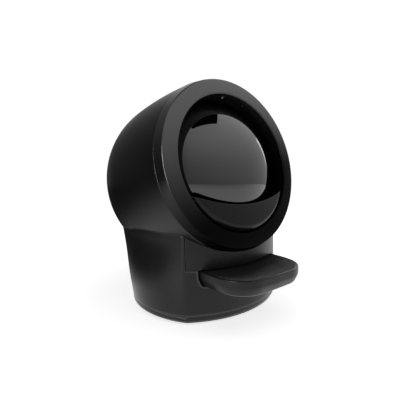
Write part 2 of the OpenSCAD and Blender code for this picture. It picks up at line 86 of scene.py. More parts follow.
# %% Helpers for grids
def skin(name, grid, wrap_rows=False, wrap_cols=False, keep=None, sharp=32):
    """A mesh from a grid of points in millimetres, rows by columns."""
    grid = np.asarray(grid, float)
    rows, cols = grid.shape[:2]
    r = np.arange(rows if wrap_rows else rows - 1)
    c = np.arange(cols if wrap_cols else cols - 1)
    r, c = (a.ravel() for a in np.meshgrid(r, c, indexing="ij"))
    if keep is not None:
        chosen = keep[r, c]
        r, c = r[chosen], c[chosen]
    r2, c2 = (r + 1) % rows, (c + 1) % cols
    faces = np.stack([r * cols + c, r * cols + c2, r2 * cols + c2, r2 * cols + c], 1)
    return solid(name, grid.reshape(-1, 3), faces, sharp)


def solid(name, points, faces, sharp=32):
    """An object from points in millimetres, welded, with its faces turned outwards."""
    mesh = bpy.data.meshes.new(name)
    mesh.from_pydata((np.asarray(points) * MM).tolist(), [], np.asarray(faces).tolist())
    work = bmesh.new()
    work.from_mesh(mesh)
    bmesh.ops.delete(work, geom=[v for v in work.verts if not v.link_faces], context="VERTS")
    bmesh.ops.remove_doubles(work, verts=work.verts, dist=1e-6)
    bmesh.ops.dissolve_degenerate(work, edges=work.edges, dist=1e-7)
    bmesh.ops.recalc_face_normals(work, faces=work.faces)
    work.to_mesh(mesh)
    work.free()
    shade(mesh, sharp)
    return add(name, mesh)


def shade(mesh, sharp):
    """Smooth shading, with edges kept crisp above an angle in degrees."""
    mesh.shade_smooth()
    mesh.set_sharp_from_angle(angle=math.radians(sharp))


def add(name, mesh):
    """Puts a mesh into the scene as an object."""
    piece = bpy.data.objects.new(name, mesh)
    bpy.context.scene.collection.objects.link(piece)
    return piece


def rounded(corners, steps=6):
    """A closed outline of (a, b, radius) corners, each turned into an arc."""
    points = np.array([c[:2] for c in corners], float)
    outline = []
    for i, (_, _, radius) in enumerate(corners):
        here = points[i]
        back, ahead = points[i - 1] - here, points[(i + 1) % len(points)] - here
        back, ahead = back / np.linalg.norm(back), ahead / np.linalg.norm(ahead)
        half = math.acos(max(-1.0, min(1.0, float(back @ ahead)))) / 2
        if radius < 1e-6 or half > math.pi / 2 - 0.02:
            outline.append(here)
            continue
        middle = here + (back + ahead) / np.linalg.norm(back + ahead) * radius / math.sin(half)
        start, end = (here + d * radius / math.tan(half) - middle for d in (back, ahead))
        sweep = math.pi - 2 * half
        for s in np.linspace(0, 1, steps):
            outline.append(middle + (start * math.sin((1 - s) * sweep) + end * math.sin(s * sweep))
                           / math.sin(sweep))
    return np.array(outline)


def lathe(name, outline, centre, axis, across, segments=192, sharp=32):
    """A closed outline of (radius, height) turned round an axis."""
    third = np.cross(axis, across)
    turn = np.linspace(0, 2 * math.pi, segments, endpoint=False)
    radial = np.cos(turn)[:, None] * across + np.sin(turn)[:, None] * third
    grid = (centre + outline[:, 1][:, None, None] * axis
            + outline[:, 0][:, None, None] * radial[None])
    return skin(name, grid, wrap_rows=True, wrap_cols=True, sharp=sharp)


def smooth(x, low, high):
    """0 below low, 1 above high, and an even slope between."""
    t = np.clip((x - low) / (high - low), 0, 1)
    return t * t * (3 - 2 * t)


def blend_min(a, b, reach):
    """The smaller of two, rounded where they cross."""
    return np.minimum(a, b) - np.maximum(reach - np.abs(a - b), 0) ** 2 / (4 * reach)


def thicken(piece, wall, edge=0.0):
    """Gives a skin its wall, inwards, and rounds the rim."""
    shell = piece.modifiers.new("wall", "SOLIDIFY")
    shell.thickness, shell.offset = wall * MM, -1
    shell.use_even_offset = True
    if edge:
        soften(piece, edge)
    return piece


def soften(piece, edge, angle=40, segments=3):
    """Rounds every sharp edge a little, as a mould does."""
    round_over = piece.modifiers.new("edges", "BEVEL")
    round_over.width, round_over.segments = edge * MM, segments
    round_over.limit_method, round_over.angle_limit = "ANGLE", math.radians(angle)
    round_over.use_clamp_overlap = True
    return piece


def join(name, pieces):
    """Several meshes become one piece."""
    work = bmesh.new()
    for piece in pieces:
        work.from_mesh(piece.data)
        bpy.data.objects.remove(piece)
    mesh = bpy.data.meshes.new(name)
    work.to_mesh(mesh)
    work.free()
    return add(name, mesh)


def close_ends(piece, turn_faces=True):
    """Fills the open ends of a loft with flat faces."""
    work = bmesh.new()
    work.from_mesh(piece.data)
    bmesh.ops.holes_fill(work, edges=[e for e in work.edges if e.is_boundary])
    if turn_faces:
        bmesh.ops.recalc_face_normals(work, faces=work.faces)
    work.to_mesh(piece.data)
    work.free()


# %% [markdown]
# ## Plastics, rubber and metal
# The real feeder is injection moulded. The shells have a satin surface with a
# spark-eroded grain, the visor and bowl come from polished moulds, the mat is
# soft rubber. One recipe covers them: fine noise for the grain, cloudy noise
# for how evenly it was handled, and a lighter tone on edges that is partly wear
# and partly a painted highlight. The ring's shine also fades from its upper
# left to its lower right. A real ring has one finish all round: the fade is a
# painted sheen that stands in for a room that is brighter on one side.

# %% One recipe for every finish
def finish(name, colour, rough, grain=0.0, grain_size=0.5, spread=0.06, metal=0.0,
           shine=0.5, coat=0.0, tint=0.12, wear_and_edge_highlight=0.0, brushed=None, clear=0.0, painted_sheen_fade=None):
    """A material with grain, cloudy roughness and lighter edges, partly wear and partly a painted highlight. Grain
    sizes are in millimetres.
    """
    material = bpy.data.materials.new(name)
    material.use_nodes = True
    nodes, links = material.node_tree.nodes, material.node_tree.links
    shader = nodes["Principled BSDF"]
    place = nodes.new("ShaderNodeTexCoord")
    stretch = nodes.new("ShaderNodeMapping")
    stretch.inputs["Scale"].default_value = brushed or (1, 1, 1)
    links.new(place.outputs["Object"], stretch.inputs["Vector"])

    cloud = nodes.new("ShaderNodeTexNoise")
    cloud.inputs["Scale"].default_value = 14
    cloud.inputs["Detail"].default_value = 4
    links.new(stretch.outputs["Vector"], cloud.inputs["Vector"])
    fine = nodes.new("ShaderNodeTexNoise")
    fine.inputs["Scale"].default_value = 1 / (grain_size * MM)
    fine.inputs["Detail"].default_value = 2
    links.new(stretch.outputs["Vector"], fine.inputs["Vector"])

    shades = nodes.new("ShaderNodeMix")
    shades.data_type = "RGBA"
    shades.inputs["A"].default_value = (*[c * (1 - tint) for c in colour], 1)
    shades.inputs["B"].default_value = (*[min(1, c * (1 + tint)) for c in colour], 1)
    links.new(cloud.outputs["Fac"], shades.inputs["Factor"])
    base = shades.outputs["Result"]
    # Lighter tone on sharp edges, found by pointiness: partly edge wear, partly a painted highlight along the
    # edges.
    if wear_and_edge_highlight:
        edge = nodes.new("ShaderNodeNewGeometry")
        rim = nodes.new("ShaderNodeMapRange")
        rim.inputs["From Min"].default_value = 0.52
        rim.inputs["From Max"].default_value = 0.62
        rim.inputs["To Max"].default_value = wear_and_edge_highlight
        links.new(edge.outputs["Pointiness"], rim.inputs["Value"])
        rubbed_and_highlit = nodes.new("ShaderNodeMix")
        rubbed_and_highlit.data_type = "RGBA"
        rubbed_and_highlit.inputs["B"].default_value = (*[min(1, c * 2 + 0.06) for c in colour], 1)
        links.new(rim.outputs["Result"], rubbed_and_highlit.inputs["Factor"])
        links.new(base, rubbed_and_highlit.inputs["A"])
        base = rubbed_and_highlit.outputs["Result"]
    links.new(base, shader.inputs["Base Color"])

    even = nodes.new("ShaderNodeMapRange")
    even.inputs["From Min"].default_value = 0.3
    even.inputs["From Max"].default_value = 0.7
    even.inputs["To Min"].default_value = max(0.02, rough - spread)
    even.inputs["To Max"].default_value = rough + spread
    links.new(cloud.outputs["Fac"], even.inputs["Value"])
    links.new(even.outputs["Result"], shader.inputs["Roughness"])
    if grain:
        bump = nodes.new("ShaderNodeBump")
        bump.inputs["Strength"].default_value = grain
        bump.inputs["Distance"].default_value = 0.05 * MM
        links.new(fine.outputs["Fac"], bump.inputs["Height"])
        links.new(bump.outputs["Normal"], shader.inputs["Normal"])
    shader.inputs["Metallic"].default_value = metal
    shader.inputs["Specular IOR Level"].default_value = shine
    # Painted sheen: the specular level fades with position, high at the upper left and low at the lower right, in
    # place of light falling brighter on one side.
    if painted_sheen_fade:
        slant = nodes.new("ShaderNodeVectorMath")
        slant.operation = "DOT_PRODUCT"
        slant.inputs[1].default_value = painted_sheen_fade[0]
        links.new(place.outputs["Object"], slant.inputs[0])
        rise = nodes.new("ShaderNodeMapRange")
        rise.interpolation_type = "SMOOTHSTEP"
        rise.inputs["From Min"].default_value, rise.inputs["From Max"].default_value = painted_sheen_fade[1:]
        rise.inputs["To Min"].default_value = 0.03
        rise.inputs["To Max"].default_value = shine
        links.new(slant.outputs["Value"], rise.inputs["Value"])
        links.new(rise.outputs["Result"], shader.inputs["Specular IOR Level"])
    shader.inputs["Coat Weight"].default_value = coat
    shader.inputs["Coat Roughness"].default_value = 0.04
    shader.inputs["Transmission Weight"].default_value = clear
    return material


satin = finish("satin shell", (0.0045, 0.0045, 0.0048), 0.30, grain=0.08, grain_size=0.45,
               shine=0.30, wear_and_edge_highlight=0.7)
# The ring carries a painted sheen that fades towards its lower right.
ring_satin = finish("ring satin", (0.002, 0.002, 0.0021), 0.24, grain=0.05, grain_size=0.4,
                    shine=1.0, wear_and_edge_highlight=0.6, painted_sheen_fade=((-0.42, 0, 1), 0.17, 0.34))
polished = finish("polished visor", (0.002, 0.002, 0.0022), 0.03, spread=0.01, shine=1.0)
bowl_gloss = finish("bowl gloss", (0.004, 0.004, 0.0045), 0.24, spread=0.03, grain=0.03,
                    grain_size=0.8, shine=0.22, wear_and_edge_highlight=0.7)
inner_gloss = finish("inner gloss", (0.004, 0.004, 0.0045), 0.18, spread=0.03, shine=0.4)
moulded = finish("dark moulded", (0.05, 0.05, 0.053), 0.48, grain=0.2, grain_size=0.6)
black_rubber = finish("black rubber", (0.010, 0.010, 0.010), 0.42, grain=0.2, grain_size=0.7)
grey_rubber = finish("seal rubber", (0.12, 0.12, 0.125), 0.6, grain=0.3, grain_size=0.6)
steel = finish("brushed steel", (0.60, 0.60, 0.62), 0.3, metal=1.0, grain=0.2, grain_size=0.3,
               brushed=(0.05, 1, 1), tint=0.05)
frosted = finish("frosted plastic", (0.62, 0.64, 0.67), 0.42, grain=0.2, grain_size=0.5, clear=0.25)
board_green = finish("solder mask", (0.012, 0.085, 0.03), 0.35, grain=0.15, grain_size=0.9)
cell_wrap = finish("shrink wrap", (0.03, 0.09, 0.25), 0.32, grain=0.1, grain_size=2.0)
glass = finish("camera glass", (0.10, 0.10, 0.12), 0.05, spread=0.01, shine=1.0, coat=1.0)
diffuser = finish("light diffuser", (0.05, 0.05, 0.052), 0.35, spread=0.04)
FINISHES = {"satin_shell": satin, "gloss_black": inner_gloss, "dark_grey": moulded,
            "black_rubber": black_rubber, "grey_rubber": grey_rubber, "steel": steel,
            "frosted": frosted, "board_green": board_green, "cell_wrap": cell_wrap,
            "lens": glass, "light": diffuser}
print(len(bpy.data.materials), "materials so far")


# %% Putting a piece on its body
def fit(piece, body, slot, material, *nodes):
    """The piece rides on a body, stands for CAD nodes and takes a finish."""
    piece.data.materials.clear()
    piece.data.materials.append(material)
    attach(piece, body)
    if nodes:
        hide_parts(*nodes)
    print(f"{piece.name}: {len(piece.data.polygons)} faces on {body}")
    return piece


# %% [markdown]
# ## The head
# The head is one moulding: a long barrel behind the ring, closed by a round
# back with the hatch opening. Cutting the hole with a boolean would leave
# slivers on a curved wall. Instead the columns fan out from the hatch's own
# axis, sweep over the round back, and run forward along the barrel.

# %% Axis of the hatch and the barrel's curve
hatch = joints["lid_hinge"]
hatch_up = math.radians(30)
HATCH = np.array([0, math.cos(hatch_up), math.sin(hatch_up)])
HATCH_UP = np.cross(SIDE, HATCH)
head_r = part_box("head_shell")[1].x / MM
hatch_r = 45.0
wall = 3.0
ring_side = 16.0
ring_back = ring_r + 4.5
barrel_run = head_back - ring_side
barrel_rise = head_r - (ring_back - 0.5)
barrel_r = (barrel_run ** 2 + barrel_rise ** 2) / (2 * barrel_rise)
print(f"head radius {head_r:.1f} mm, barrel arc {barrel_r:.0f} mm")


def barrel(depth, inset=0.0):
    """Radius of the head at a distance behind the ring's face."""
    return head_r - barrel_r + np.sqrt((barrel_r - inset) ** 2 - (depth - head_back) ** 2)


# %% One column of the head from hatch rim to ring and back inside
def head_grid(columns=320, over=44, along=44, gap=0.3):
    turn = np.linspace(0, 2 * math.pi, columns, endpoint=False)
    spoke = np.cos(turn)[:, None] * SIDE + np.sin(turn)[:, None] * HATCH_UP
    reach = np.arctan2(-(HATCH @ OUT), spoke @ OUT)
    equator = np.cos(reach)[:, None] * HATCH + np.sin(reach)[:, None] * spoke

    def over_back(radius, start, count):
        rows = []
        for s in np.linspace(0, 1, count):
            a = (start + s * (reach - start))[:, None]
            rows.append(HEAD + radius * (np.cos(a) * HATCH + np.sin(a) * spoke))
        return rows

    def along_barrel(inset, depths):
        return [CENTRE - d * OUT + barrel(d, inset) * equator for d in depths]

    front = ring_side + gap
    rim = 0.8
    grid = []
    for a in np.linspace(0, math.pi / 2, 5)[:-1]:
        r = hatch_r + rim - rim * math.cos(a)
        grid.append(HEAD + (math.sqrt(head_r ** 2 - (hatch_r + rim) ** 2) - rim + rim * math.sin(a)
                            ) * HATCH + r * spoke)
    grid += over_back(head_r, math.asin((hatch_r + rim) / head_r), over)
    grid += along_barrel(0, np.linspace(head_back, front + rim, along)[1:])
    grid += [CENTRE - (front + rim - rim * math.sin(a)) * OUT
             + (barrel(front) - rim + rim * math.cos(a)) * equator
             for a in np.linspace(0, math.pi / 2, 5)[1:]]
    grid += along_barrel(wall, np.linspace(front, head_back, along // 2))
    inside = over_back(head_r - wall, math.asin(hatch_r / (head_r - wall)), over // 2)
    grid += inside[::-1][1:]
    return np.array(grid)


head = skin("head_cover", head_grid(), wrap_rows=True, wrap_cols=True)
fit(head, "housing", "satin_shell", satin, "head_shell")

# %% [markdown]
# ## The hatch lid and its hinge
# The lid carries on the round back, so it is turned from the same sphere. A
# shallow scoop in the edge across from the hinge lets a finger lift it. The
# points of the cap that fall inside a ball are pressed back onto its surface.

# %% Cap of the lid with its finger scoop
lid_r = hatch_r - 0.5
rim = 0.9
lid_edge = 2.2
lid_step = 1.2
cap = [(0.01, head_r)]
for a in np.linspace(0.02, math.asin((lid_r - rim) / head_r), 42):
    cap.append((head_r * math.sin(a), head_r * math.cos(a)))
edge_h = cap[-1][1] - rim
cap += [(lid_r - rim + rim * math.sin(a), edge_h + rim * math.cos(a))
        for a in np.linspace(0.2, math.pi / 2, 6)]
cap.append((lid_r, edge_h - lid_edge))
cap += [((head_r - wall) * math.sin(a), (head_r - wall) * math.cos(a))
        for a in np.linspace(math.asin((lid_r - lid_step) / (head_r - wall)), 0.02, 24)]
cap.append((0.01, head_r - wall))
lid = lathe("hatch_lid", np.array(cap), HEAD, HATCH, SIDE, segments=288)

scoop_r = 9.0
scoop_off = 3.0
scoop_skin = 2.0
scoop_wall = 0.8
hinge_at = np.array(hatch["pos_m"]) / MM
scoop_side = -math.copysign(1, (hinge_at - HEAD) @ HATCH_UP)
scoop_at = (HEAD + scoop_side * (hatch_r + scoop_off) * HATCH_UP
            + (math.sqrt(head_r ** 2 - hatch_r ** 2) + scoop_off) * HATCH)
for vertex in lid.data.vertices:
    point = np.array(vertex.co) / MM
    away = point - scoop_at
    outside = (point - HEAD) @ (point - HEAD) > (head_r - scoop_skin) ** 2
    if outside and np.linalg.norm(away) < scoop_r:
        inward = (HEAD - point) / np.linalg.norm(HEAD - point)
        b = away @ inward
        push = -b + math.sqrt(b * b - away @ away + scoop_r ** 2)
        vertex.co = Vector((point + inward * min(push, wall - scoop_wall)) * MM)


# %% Knuckles at the hinge pin
knuckle_r = 4.5
knuckle_edge = 0.5
# A leaf's length from the pin, and the heights of its upper and lower edge.
LEAVES = {"head": (6.6, 4.0, -4.4), "lid": (9.5, 1.6, -2.4)}


def knuckle(name, low, high, leaf):
    """A leaf that runs from its cover to the pin, with a half-round hollow for the pin."""
    toward = -HATCH if leaf == "head" else (HEAD - hinge_at) @ HATCH_UP * HATCH_UP
    toward = toward / np.linalg.norm(toward)
    other = np.cross(toward, SIDE)
    hollow = [(knuckle_r * math.cos(t), knuckle_r * math.sin(t))
              for t in np.linspace(-math.pi / 2, math.pi / 2, 17)]
    length, upper, lower = LEAVES[leaf]
    section = hollow + [(length, upper), (length, lower)]
    outline = np.array([hinge_at + a * toward + b * other for a, b in section])
    ends = [outline + x * SIDE for x in (low, high)]
    count = len(outline)
    faces = [[i, (i + 1) % count, count + (i + 1) % count, count + i] for i in range(count)]
    faces += [list(range(count)), list(range(2 * count - 1, count - 1, -1))]
    mesh = bpy.data.meshes.new(name)
    mesh.from_pydata((np.concatenate(ends) * MM).tolist(), [], faces)
    shade(mesh, 35)
    return soften(add(name, mesh), knuckle_edge)


fit(lid, "lid", "satin_shell", satin, "hopper_lid")
lid_half, ear_start, ear_end = 13.5, 14.0, 24.0
fit(knuckle("lid_knuckle", -lid_half, lid_half, "lid"), "lid", "satin_shell", satin, "hopper_lid")
for side, low, high in (("left", ear_start, ear_end), ("right", -ear_end, -ear_start)):
    fit(knuckle(f"hinge_ear_{side}", low, high, "head"), "housing", "satin_shell", satin,
        "head_shell")

# %% [markdown]
# ## The front ring
# The ring is a separate moulding with a flat face, a crisp outer corner and a
# softly rolled inner edge. Its section is drawn once, with a radius at each
# corner, and turned round the ring's axis.

# %% Section of the ring
ring_face = 23.5
ring_depth = 27.0
inner_r = ring_r - ring_face
section = rounded([
    (inner_r - 1.5, -ring_depth, 0.6), (inner_r, 2.1, 1.9), (ring_r, -0.3, 2.6),
    (ring_back, -ring_side, 0.8), (ring_r - 2, -ring_side, 0), (ring_r - 5, -5, 1),
    (inner_r + 6.5, -4, 1), (inner_r + 4, -ring_side, 0), (inner_r + 2, -ring_depth, 0.4),
], steps=9)
ring = lathe("front_ring", section, CENTRE, OUT, SIDE, segments=320)
fit(ring, "housing", "satin_shell", ring_satin, "ring_bezel")

# %% [markdown]
# ## The visor
# The visor is an eyelid: a slice of a sphere that turns on two side pins and
# slides up inside the head. Each row of the grid is a great arc at one angle
# about the pins. The skin gets its wall and rounded lips from modifiers.

# %% Slice of a sphere between two angles
visor_r = 136.0
visor_low, visor_high = -31.0, 52.0
visor_wall, visor_lip = 2.5, 0.8
end_swing = 86.5
angles = np.radians(np.linspace(visor_low, visor_high, 90))
swing = np.radians(np.linspace(-end_swing, end_swing, 180))
arcs = np.cos(angles)[:, None] * OUT + np.sin(angles)[:, None] * UP
eyelid = (PIVOT + visor_r * np.cos(swing)[None, :, None] * arcs[:, None, :]
          + visor_r * np.sin(swing)[None, :, None] * SIDE)
visor = skin("visor_shell", eyelid)
thicken(visor, visor_wall, visor_lip)

# %% Pivot bosses that close the ends of the slice
bore_r, boss_r = 4.05, 12
boss_in, boss_out, boss_crown = visor_r - 6.5, visor_r - 2.2, visor_r - 1.4
boss_parts = []
for side in (-1, 1):
    boss = rounded([(bore_r, boss_in, 0.3), (boss_r, boss_in, 1), (boss_r, boss_out, 0.4),
                    (bore_r, boss_crown, 0.3)], steps=4)
    boss_parts.append(lathe("boss", boss, PIVOT, SIDE * side, OUT, segments=64))
bosses = join("visor_bosses", boss_parts)
fit(visor, "visor", "gloss_black", polished, "visor")
fit(bosses, "visor", "gloss_black", inner_gloss, "visor")

# %% [markdown]
# ## The bowl
# The bowl is a trough that slides in along the ring's axis. Its crescent lip
# bulges out of the ring and rolls over at the edge. Seen from the side, every
# slice is one closed outline, so the bowl is lofted from slices across it.

# %% Curves of the lip, the rim and the trough
bowl_r = 104.0
bowl_wall = 3.5
bowl_deep = 84.0
lip_low, lip_rise, lip_out = 65.0, 19.0, 10.5
lip_tip = math.sqrt(bowl_r ** 2 - (lip_low - lip_rise) ** 2)
lip_arc = (lip_tip ** 2 + lip_rise ** 2) / (2 * lip_rise)
lip_ball = (lip_tip ** 2 + (lip_out - 2) ** 2) / (2 * (lip_out - 2))
rim_low, rim_arc = 71.05, 236.0
roll = 8.5
lip_edge = 1.1
bowl_corner = 0.8
floor_turn = 4.0


def lip_top(x):
    return lip_arc - lip_low - np.sqrt(lip_arc ** 2 - x ** 2)


def lip_face(x, u):
    """How far the lip stands out of the ring's face."""
    bulge = lip_out - (x ** 2 + (u + lip_low - lip_rise) ** 2) / (2 * lip_ball)
    inside = np.clip(bowl_r - np.sqrt(x ** 2 + u ** 2), 0, roll)
    return bulge - roll + np.sqrt(np.maximum(roll ** 2 - (roll - inside) ** 2, 0))


# %% One closed slice of the bowl
def bowl_slice(x):
    top, bottom = lip_top(x), -math.sqrt(bowl_r ** 2 - x ** 2)
    rim = max(rim_arc - rim_low - math.sqrt(rim_arc ** 2 - x ** 2), bottom + 0.05)
    floor = min(-math.sqrt(max((bowl_r - bowl_wall) ** 2 - x ** 2, 1)), rim - 0.02)
    top = max(top, bottom + 0.1)
    edge = min(lip_edge, (top - bottom) / 3)
    rear = bowl_wall - bowl_deep
    points = []
    for a in np.linspace(math.pi, 0, 7):
        points.append((lip_face(x, top - edge) - edge + edge * math.cos(a),
                       top - edge + edge * math.sin(a)))
    for s in np.linspace(0, 1, 46)[1:]:
        u = top - edge + (bottom - top + edge) * (1 - (1 - s) ** 1.6)
        points.append((float(lip_face(x, u)), u))
    points += [(-h, bottom) for h in np.linspace(6, bowl_deep - 1, 8)]
    points += [(-bowl_deep, bottom + 1), (-bowl_deep, rim - bowl_corner),
               (-bowl_deep + bowl_corner, rim), (rear - bowl_corner, rim), (rear, rim - bowl_corner)]
    points += [(rear, floor + (rim - floor) * 0.3), (rear + floor_turn, floor)]
    points += [(-h, floor) for h in np.linspace(-rear - 10, 8, 8)]
    behind = lip_face(x, top - edge) - 2 * edge
    back = min(-0.5, behind)
    points += [(back, floor), (back, (floor + top) / 2), (behind, top - edge)]
    return np.array(points)


across = lip_tip * np.sin(np.linspace(-math.pi / 2, math.pi / 2, 150)) * 0.9985
slices = []
for x in across:
    h, u = bowl_slice(float(x)).T
    slices.append(CENTRE + h[:, None] * OUT + u[:, None] * UP + x * SIDE)
bowl = skin("crescent_bowl", np.array(slices), wrap_cols=True, sharp=38)
close_ends(bowl, turn_faces=False)
fit(bowl, "bowl", "gloss_black", bowl_gloss, "bowl")

# %% [markdown]
# ## The base
# The base leans back: a cone that a flatter, leaning front cuts. A hollow in
# each side starts sharply at the front corner and fades away to the rear and
# the floor. All of it is one formula for the distance from the base's own
# axis, so corner, hollow and wall flow into each other without seams.

# %% Distance from the axis at any height and angle
base_r, base_y = 121.0, -13.5
lean, flare, front_lean = math.radians(8.9), math.radians(5.2), math.radians(2.0)
corner_x = 97.0
front_r, front_y = 174.0, 117.0
hollow_turn = math.radians(80)
hollow_deep = 12.2
hollow_start, hollow_full = 40, 118
corner_round = 1.8


def hollow_shape(along):
    """Steep behind the corner, deepest a third of the way back, then fading away."""
    return 5.2 * along ** 0.95 * (1 - along) ** 1.5


def base_ring(z):
    """Axis position and radius of the cone, axis position of the front, at a height."""
    return (base_y + z * math.tan(lean), base_r + z * math.tan(flare),
            front_r - front_y + z * math.tan(front_lean))


def base_corner(z):
    """Half width and depth of the front corner at a height."""
    yc, rc, yf = base_ring(z)
    y = (rc ** 2 - front_r ** 2 - yc ** 2 + yf ** 2) / (2 * (yf - yc))
    x = np.minimum(np.sqrt(rc ** 2 - (y - yc) ** 2), corner_x)
    return x, yf - np.sqrt(front_r ** 2 - x ** 2)


def base_point(angle, z, inset=0.0):
    """Point on the base. The angle is from -90 at the front to 90 degrees at the rear."""
    yc, rc, yf = base_ring(z)
    x, y = base_corner(z)
    along = (angle - np.arctan2(y - yc, x)) / hollow_turn
    along = np.clip(along, 0, 1)
    cut = np.maximum(rc - np.hypot(x, y - yc), 0)
    reach = hollow_deep * smooth(z, hollow_start, hollow_full)
    hollow = cut * (1 - along) ** 3 + reach * hollow_shape(along)
    dy = yc - yf
    front = -dy * np.sin(angle) + np.sqrt(front_r ** 2 - (dy * np.cos(angle)) ** 2)
    r = blend_min(rc - hollow, front, corner_round) - inset
    return np.stack([r * np.cos(angle), yc + r * np.sin(angle), z + 0 * r], -1)


# %% Where a column meets the underside of the head
def head_gap(points):
    """Distance from the head's surface; the ring's wall counts too."""
    rel = points - CENTRE
    h = rel @ OUT
    off = np.linalg.norm(rel - h[..., None] * OUT, axis=-1)
    round_back = np.linalg.norm(points - HEAD, axis=-1) - head_r
    sides = np.sqrt((off - head_r + barrel_r) ** 2 + (h + head_back) ** 2) - barrel_r
    near = np.where(h < -head_back, round_back, sides)
    cone = off - ring_r - (ring_back - ring_r) * np.clip(-h / ring_side, 0, 1)
    return np.where(h > -ring_side - 0.4, cone, near)


def column_top(place, low, high=200.0, gap=0.35):
    """Height at which each column of the base reaches the head."""
    low = np.full(len(place(np.array(low))), float(low)) if np.isscalar(low) else low
    steps = np.linspace(0, 1, 160)
    top = np.full_like(low, high)
    for s in steps[::-1]:
        z = low + s * (high - low)
        top = np.where(head_gap(place(z)) < gap, z, top)
    step = (high - low) / (len(steps) - 1)
    under, over = top - step, top.copy()
    for _ in range(20):
        mid = (under + over) / 2
        hit = head_gap(place(mid)) < gap
        over, under = np.where(hit, mid, over), np.where(hit, under, mid)
    return under


# %% Columns: the tray's slot, the front panel, the corner and the side
tray_z = 78.0
tray_half = 76.2
tray_low = 55.0
tray_edge, tray_under, under_draw = 10, 13, 5.5
sole_round, sole_draw = 2.6, 3.6
seam = tray_z + 0.6
slot_low = tray_low - 0.4
slot_gap = 0.35


def tray_inset(z):
    """How far the tray's tapered underside draws in at a height."""
    taper = under_draw * np.clip((tray_z - tray_edge - z) / tray_under, 0, 1) ** 1.25
    sole = np.clip((tray_low + sole_round - z) / sole_round, 0, 1)
    return taper + sole_draw * (1 - np.sqrt(1 - sole ** 2))


def slot_half(z):
    return tray_half + slot_gap - tray_inset(z)


def front_angle(x, z):
    yc, _, yf = base_ring(z)
    return np.arctan2(yf - np.sqrt(front_r ** 2 - x ** 2) - yc, x)


PANEL_EDGE = 2.6
kinds = [("slot", s) for s in np.linspace(0, 1, 40)]
kinds += [("panel", s) for s in np.linspace(0, 1, 10)[1:]]
kinds += [("corner", s) for s in np.linspace(0, 1, 9)[1:]]
kinds += [("side", s) for s in (np.linspace(0, 1, 150) ** 1.35)[1:]]


def column_angle(kind, share, z):
    x, y = base_corner(z)
    yc = base_ring(z)[0]
    edge = x - PANEL_EDGE
    if kind == "slot":
        return front_angle(share * slot_half(z), z)
    if kind == "panel":
        return front_angle(slot_half(z) + share * (edge - slot_half(z)), z)
    if kind == "corner":
        return front_angle(edge + share * PANEL_EDGE, z)
    start = np.arctan2(y - yc, x)
    return start + share * (math.pi / 2 - start)


def half_rows(chosen, heights):
    """Rows of points for the chosen columns of the right half; heights are rows by columns."""
    rows = []
    for z in heights:
        row = [base_point(column_angle(k, s, zz), zz) for (k, s), zz in zip(chosen, z)]
        rows.append(np.array(row))
    return np.array(rows)


def mirrored(rows):
    """The whole from the right half, columns from left to right round the front or the rear."""
    return rows * np.array([-1, 1, 1])


# %% Heights of the rows up to the seam, then up to the head
bottom = 13.0
sill_rows = 26
low_rows = np.concatenate([np.linspace(bottom, slot_low, sill_rows),
                           np.linspace(slot_low, seam, 16)[1:]])
side_cols = [("panel", 1.0)] + [k for k in kinds if k[0] in ("corner", "side")]
panel_cols = [k for k in kinds if k[0] in ("slot", "panel")]


def tops(chosen):
    def place(z):
        z = np.broadcast_to(z, (len(chosen),))
        return np.array([base_point(column_angle(k, s, zz), zz) for (k, s), zz in zip(chosen, z)])
    return column_top(place, seam)


side_top, panel_top = tops(side_cols), tops(panel_cols)
print("base meets the head between", side_top.min().round(1), "and", side_top.max().round(1), "mm")

# %% The base's shell: one skin with the slot and the panel's opening left out
rise = np.linspace(0, 1, 62)
all_heights = [np.full(len(kinds), z) for z in low_rows]
slot_cols = sum(kind == "slot" for kind, _ in kinds) - 1
panel_count = len(panel_cols) - 1
full_top = np.concatenate([np.full(panel_count, seam + 10), side_top])
all_heights += [seam + s * (full_top - seam) for s in rise[1:]]
right = half_rows(kinds, np.array(all_heights))
whole = np.concatenate([right, mirrored(right)[:, ::-1][:, 1:-1]], axis=1)
columns = whole.shape[1]
rows_low = len(low_rows)
col = np.arange(columns)
col = np.minimum(col, (2 * len(kinds) - 3) - col)
row = np.arange(len(all_heights))
first = np.minimum(col, np.roll(col, -1))
keep = np.ones((len(row), columns), bool)
keep[rows_low - 1:, first < panel_count] = False
keep[sill_rows - 1:rows_low - 1, first < slot_cols] = False
base = skin("base_bucket", whole, wrap_cols=True, keep=keep, sharp=50)
shell_edge = 0.35
thicken(base, wall, shell_edge)
fit(base, "housing", "satin_shell", satin, "base_shell")

# %% [markdown]
# ## The front panel
# The panel above the tray is a separate cover, so a fine seam runs round it.
# It repeats the base's formula between its own edges, a hair smaller.

# %% The panel between its seams
gap = 0.35
heights = np.array([seam + gap + s * (panel_top - seam - gap) for s in np.linspace(0, 1, 44)])
panel_cols[-1] = ("panel", 0.975)
right = half_rows(panel_cols, heights)
whole = np.concatenate([mirrored(right)[:, ::-1], right[:, 1:]], axis=1)
panel = skin("front_panel_cover", whole, sharp=50)
thicken(panel, wall, shell_edge)
fit(panel, "housing", "satin_shell", satin, "front_panel")

# %% [markdown]
# ## The base plate and the feet
# The plate closes the base underneath. Its edge draws in towards the floor in
# a soft bevel, so the feeder seems to float on its four rubber feet.

